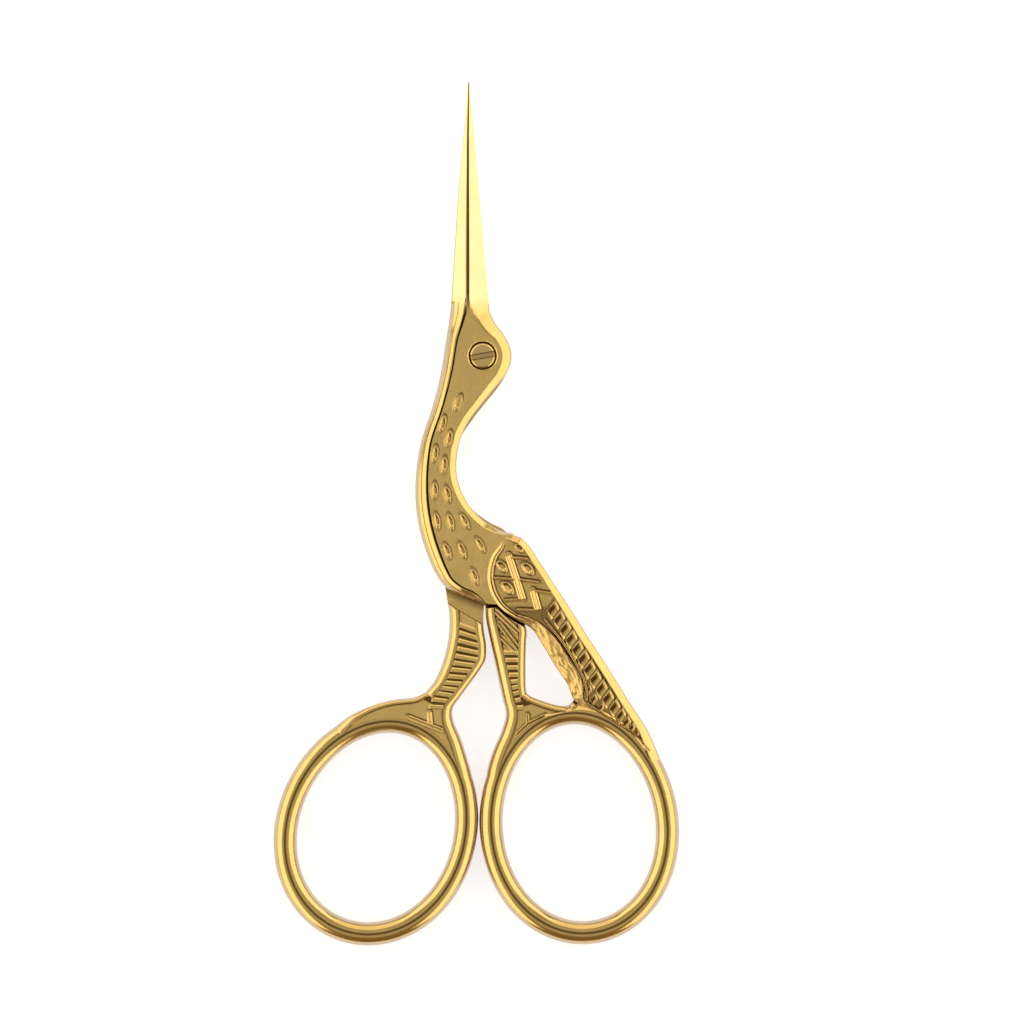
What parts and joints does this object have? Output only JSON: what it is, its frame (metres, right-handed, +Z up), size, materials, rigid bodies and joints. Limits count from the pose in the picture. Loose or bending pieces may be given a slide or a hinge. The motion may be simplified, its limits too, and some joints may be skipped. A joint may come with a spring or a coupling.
{
  "type": "stork embroidery scissors",
  "caption": "Small gold embroidery scissors shaped as a standing stork: the beak is the blades, the legs end in two finger rings, and the halves turn on a slotted screw.",
  "frame": {"origin": "on the pivot screw's axis, on the plane that the closed scissors lie on", "axes": "+Z up, out of the front half's face; +Y towards the blade tips; +X towards the stork's back, the side of the front half's ring"},
  "size_m": [0.0543, 0.1157, 0.0035],
  "materials": {
    "front_gold": "gold-plated stainless steel, polished rims over a satin ground",
    "back_gold": "gold-plated stainless steel, polished rims over a satin ground",
    "screw_gold": "gold-plated steel, turned"
  },
  "bodies": {
    "back": {"back_half": "back_gold", "pivot_screw": "screw_gold"},
    "front": {"front_half": "front_gold"}
  },
  "joints": [
    {"name": "pivot", "type": "hinge", "parent": "back", "child": "front", "pos_m": [0, 0, 0.0017], "axis": [0, 0, 1], "range_deg": [0, 60]}
  ]
}
